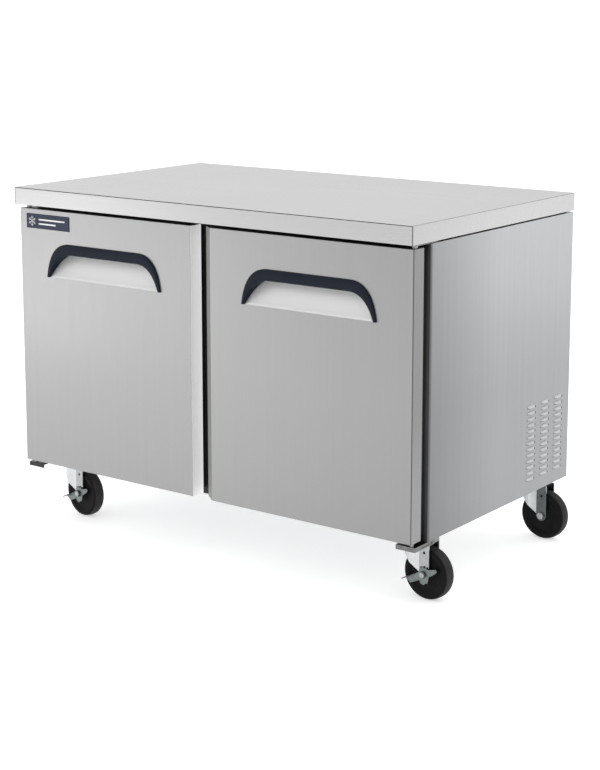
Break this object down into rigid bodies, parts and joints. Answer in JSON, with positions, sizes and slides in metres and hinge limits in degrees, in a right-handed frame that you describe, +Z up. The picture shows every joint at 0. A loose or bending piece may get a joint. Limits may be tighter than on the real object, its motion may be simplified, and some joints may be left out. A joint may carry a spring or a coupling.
{
  "type": "undercounter refrigerator",
  "caption": "Low stainless refrigerator on swivel casters with a flat worktop, hinged doors with recessed arched handles, louvred sides and a rear cooling unit.",
  "frame": {"origin": "on the floor, at the middle of the outer box, wheels included", "axes": "+X to the right of someone facing the doors, +Y from the doors to the back, +Z up"},
  "size_m": [1.2556, 0.75, 0.896],
  "materials": {
    "worktop_steel": "satin",
    "case_steel": "satin",
    "door_steel": "satin",
    "cup_steel": "satin",
    "zinc_steel": "satin",
    "navy_plastic": "satin",
    "gasket_rubber": "matte",
    "breaker_plastic": "matte",
    "liner_plastic": "satin",
    "core_foam": "matte",
    "core_board": "matte",
    "shelf_wire": "satin",
    "coil_fin": "satin",
    "compressor_paint": "satin",
    "black_plastic": "satin",
    "wheel_rubber": "satin"
  },
  "bodies": {
    "cabinet": {"worktop": "worktop_steel", "worktop_core": "core_board", "side_panel_left": "case_steel", "side_panel_right": "case_steel", "rear_panel": "case_steel", "base_panel": "zinc_steel", "machine_bulkhead": "zinc_steel", "face_frame": "breaker_plastic", "inner_liner": "liner_plastic", "foam_core": "core_foam", "centre_mullion": "breaker_plastic", "shelf_left": "shelf_wire", "shelf_right": "shelf_wire", "evaporator_cover": "liner_plastic", "evaporator_coil": "coil_fin", "evaporator_fan_motor": "black_plastic", "compressor": "compressor_paint", "condenser_coil": "coil_fin", "condenser_fan_housing": "black_plastic", "drain_pan": "black_plastic", "rear_grille": "case_steel", "power_inlet": "black_plastic", "bottom_hinge_left": "zinc_steel", "bottom_hinge_right": "zinc_steel", "top_hinge_left": "zinc_steel", "top_hinge_right": "zinc_steel", "caster_plate_front_left": "zinc_steel", "caster_plate_front_right": "zinc_steel", "caster_plate_rear_left": "zinc_steel", "caster_plate_rear_right": "zinc_steel"},
    "door_left": {"door_skin_left": "door_steel", "door_foam_left": "core_foam", "door_inner_panel_left": "liner_plastic", "door_gasket_left": "gasket_rubber", "handle_cup_left": "cup_steel", "handle_grip_left": "navy_plastic", "name_plate": "navy_plastic"},
    "door_right": {"door_skin_right": "door_steel", "door_foam_right": "core_foam", "door_inner_panel_right": "liner_plastic", "door_gasket_right": "gasket_rubber", "handle_cup_right": "cup_steel", "handle_grip_right": "navy_plastic"},
    "evaporator_fan": {"evaporator_fan_blade": "black_plastic"},
    "condenser_fan": {"condenser_fan_blade": "coil_fin"},
    "thermostat": {"thermostat_knob": "black_plastic"},
    "swivel_front_left": {"caster_fork_front_left": "zinc_steel", "caster_axle_front_left": "zinc_steel"},
    "wheel_front_left": {"caster_wheel_front_left": "wheel_rubber"},
    "brake_front_left": {"caster_brake_front_left": "zinc_steel"},
    "swivel_front_right": {"caster_fork_front_right": "zinc_steel", "caster_axle_front_right": "zinc_steel"},
    "wheel_front_right": {"caster_wheel_front_right": "wheel_rubber"},
    "brake_front_right": {"caster_brake_front_right": "zinc_steel"},
    "swivel_rear_left": {"caster_fork_rear_left": "zinc_steel", "caster_axle_rear_left": "zinc_steel"},
    "wheel_rear_left": {"caster_wheel_rear_left": "wheel_rubber"},
    "swivel_rear_right": {"caster_fork_rear_right": "zinc_steel", "caster_axle_rear_right": "zinc_steel"},
    "wheel_rear_right": {"caster_wheel_rear_right": "wheel_rubber"}
  },
  "joints": [
    {"name": "door_left_hinge", "type": "hinge", "parent": "cabinet", "child": "door_left", "pos_m": [-0.6095, -0.34, 0.504], "axis": [0, 0, -1], "range_deg": [0, 110], "stiffness_Nm_per_rad": 2, "springref_deg": -17.19},
    {"name": "door_right_hinge", "type": "hinge", "parent": "cabinet", "child": "door_right", "pos_m": [0.5805, -0.34, 0.504], "axis": [0, 0, 1], "range_deg": [0, 110], "stiffness_Nm_per_rad": 2, "springref_deg": -17.19},
    {"name": "swivel_front_left_turn", "type": "hinge", "parent": "cabinet", "child": "swivel_front_left", "pos_m": [-0.5595, -0.234, 0.14], "axis": [0, 0, 1], "continuous": true},
    {"name": "wheel_front_left_spin", "type": "hinge", "parent": "swivel_front_left", "child": "wheel_front_left", "pos_m": [-0.52691, -0.23916, 0.0635], "axis": [0.1564, 0.9877, 0], "continuous": true},
    {"name": "brake_front_left_press", "type": "hinge", "parent": "swivel_front_left", "child": "brake_front_left", "pos_m": [-0.52691, -0.23916, 0.0635], "axis": [-0.1564, -0.9877, 0], "range_deg": [0, 25]},
    {"name": "swivel_front_right_turn", "type": "hinge", "parent": "cabinet", "child": "swivel_front_right", "pos_m": [0.5305, -0.234, 0.14], "axis": [0, 0, 1], "continuous": true},
    {"name": "wheel_front_right_spin", "type": "hinge", "parent": "swivel_front_right", "child": "wheel_front_right", "pos_m": [0.56342, -0.2363, 0.0635], "axis": [0.0698, 0.9976, 0], "continuous": true},
    {"name": "brake_front_right_press", "type": "hinge", "parent": "swivel_front_right", "child": "brake_front_right", "pos_m": [0.56342, -0.2363, 0.0635], "axis": [-0.0698, -0.9976, 0], "range_deg": [0, 25]},
    {"name": "swivel_rear_left_turn", "type": "hinge", "parent": "cabinet", "child": "swivel_rear_left", "pos_m": [-0.5595, 0.324, 0.14], "axis": [0, 0, 1], "continuous": true},
    {"name": "wheel_rear_left_spin", "type": "hinge", "parent": "swivel_rear_left", "child": "wheel_rear_left", "pos_m": [-0.5265, 0.324, 0.0635], "axis": [0, 1, 0], "continuous": true},
    {"name": "swivel_rear_right_turn", "type": "hinge", "parent": "cabinet", "child": "swivel_rear_right", "pos_m": [0.5305, 0.324, 0.14], "axis": [0, 0, 1], "continuous": true},
    {"name": "wheel_rear_right_spin", "type": "hinge", "parent": "swivel_rear_right", "child": "wheel_rear_right", "pos_m": [0.56348, 0.32285, 0.0635], "axis": [0.0349, 0.9994, 0], "continuous": true},
    {"name": "evaporator_fan_spin", "type": "hinge", "parent": "cabinet", "child": "evaporator_fan", "pos_m": [-0.0145, 0.24, 0.6725], "axis": [0, 1, 0], "continuous": true},
    {"name": "condenser_fan_spin", "type": "hinge", "parent": "cabinet", "child": "condenser_fan", "pos_m": [0.3705, 0.254, 0.276], "axis": [0, 1, 0], "continuous": true},
    {"name": "thermostat_knob_turn", "type": "hinge", "parent": "cabinet", "child": "thermostat", "pos_m": [0.2115, 0.2137, 0.582], "axis": [0, -1, 0], "range_deg": [0, 270]}
  ]
}
